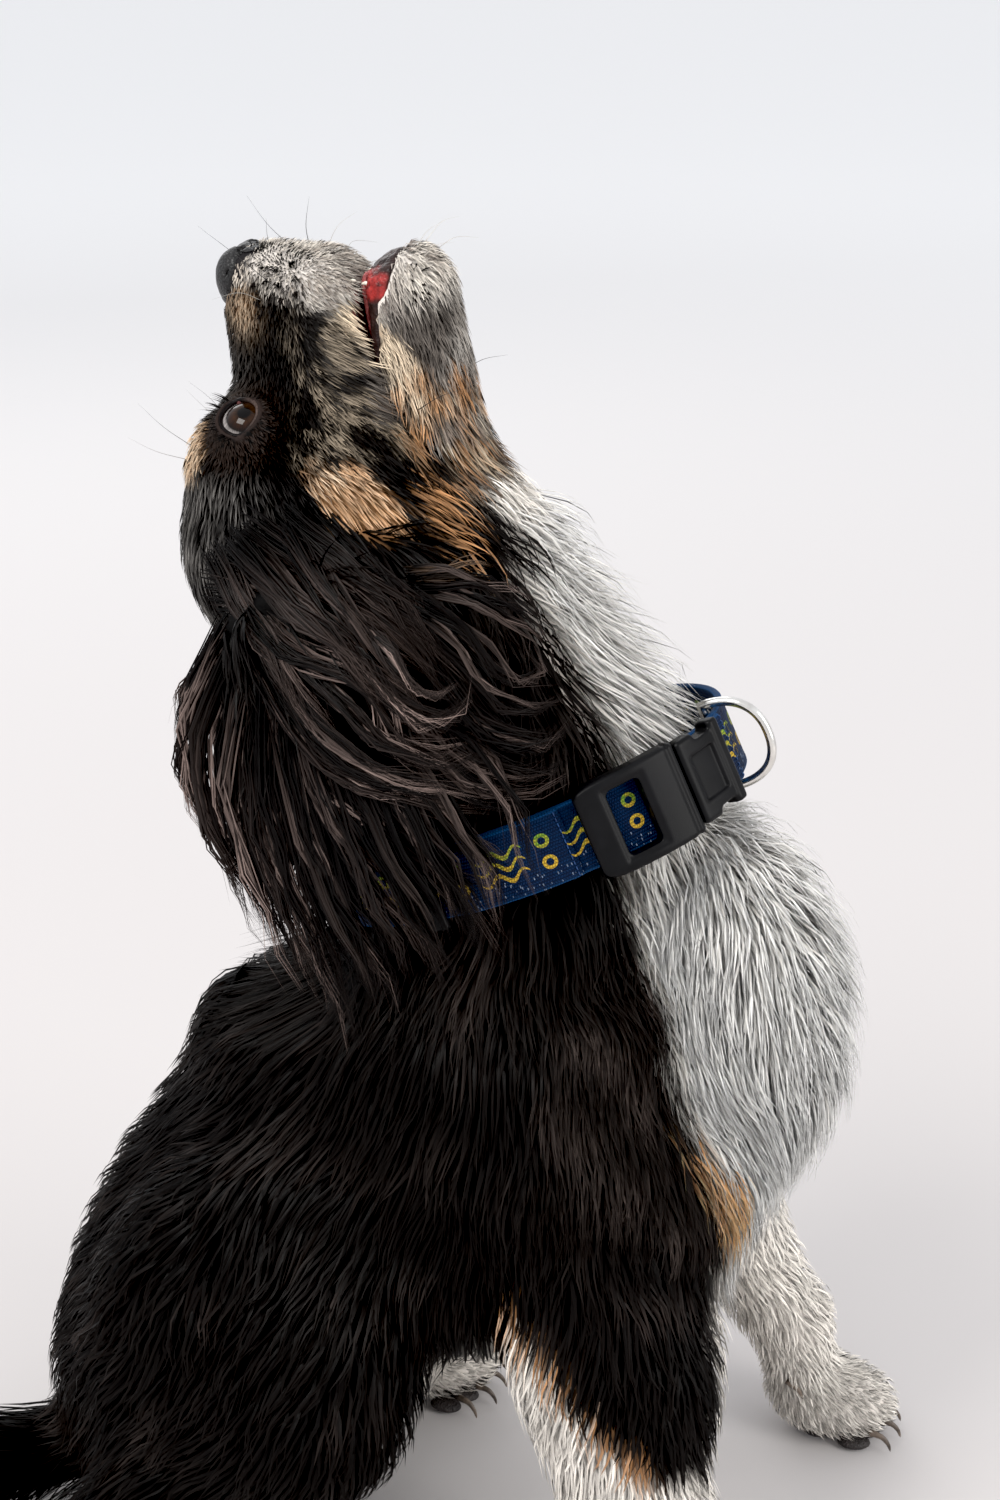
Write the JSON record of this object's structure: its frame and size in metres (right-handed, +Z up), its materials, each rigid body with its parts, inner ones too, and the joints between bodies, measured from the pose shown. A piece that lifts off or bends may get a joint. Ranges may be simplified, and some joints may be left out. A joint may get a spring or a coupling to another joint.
{
  "type": "life-size still model of a sitting dog",
  "caption": "Small long-coated dog sitting upright with its head thrown back and its mouth slightly open, wearing a webbing collar with a side-release buckle and a D-ring.",
  "frame": {"origin": "on the floor, under the middle of the whole outline", "axes": "+X the way the chest faces, +Y the dog's left side, +Z up"},
  "size_m": [0.475, 0.2296, 0.5163],
  "materials": {
    "coat_black": "long black hair with a brown cast, silky, over skin",
    "coat_white": "cream-white hair, soft and matt",
    "eye": "wet glossy dark brown",
    "nose": "moist pebbled grey-black skin",
    "mouth": "wet pink-red skin",
    "webbing": "printed navy and royal blue polyester webbing",
    "buckle_plastic": "satin black moulded acetal",
    "ring_metal": "bright plated steel wire"
  },
  "bodies": {
    "root": {"head": "coat_black", "lower_jaw": "coat_white", "nose": "nose", "tongue": "mouth", "eye_left": "eye", "eye_right": "eye", "ear_left": "coat_black", "ear_right": "coat_black", "neck": "coat_black", "trunk": "coat_black", "tail": "coat_black", "foreleg_left": "coat_white", "foreleg_right": "coat_black", "forepaw_left": "coat_white", "forepaw_right": "coat_white", "hindleg_left": "coat_black", "hindleg_right": "coat_black", "hind_foot_left": "coat_white", "hind_foot_right": "coat_white", "collar_strap": "webbing", "collar_buckle_female": "buckle_plastic", "collar_buckle_male": "buckle_plastic", "collar_slider": "buckle_plastic", "collar_d_ring": "ring_metal"}
  },
  "joints": []
}
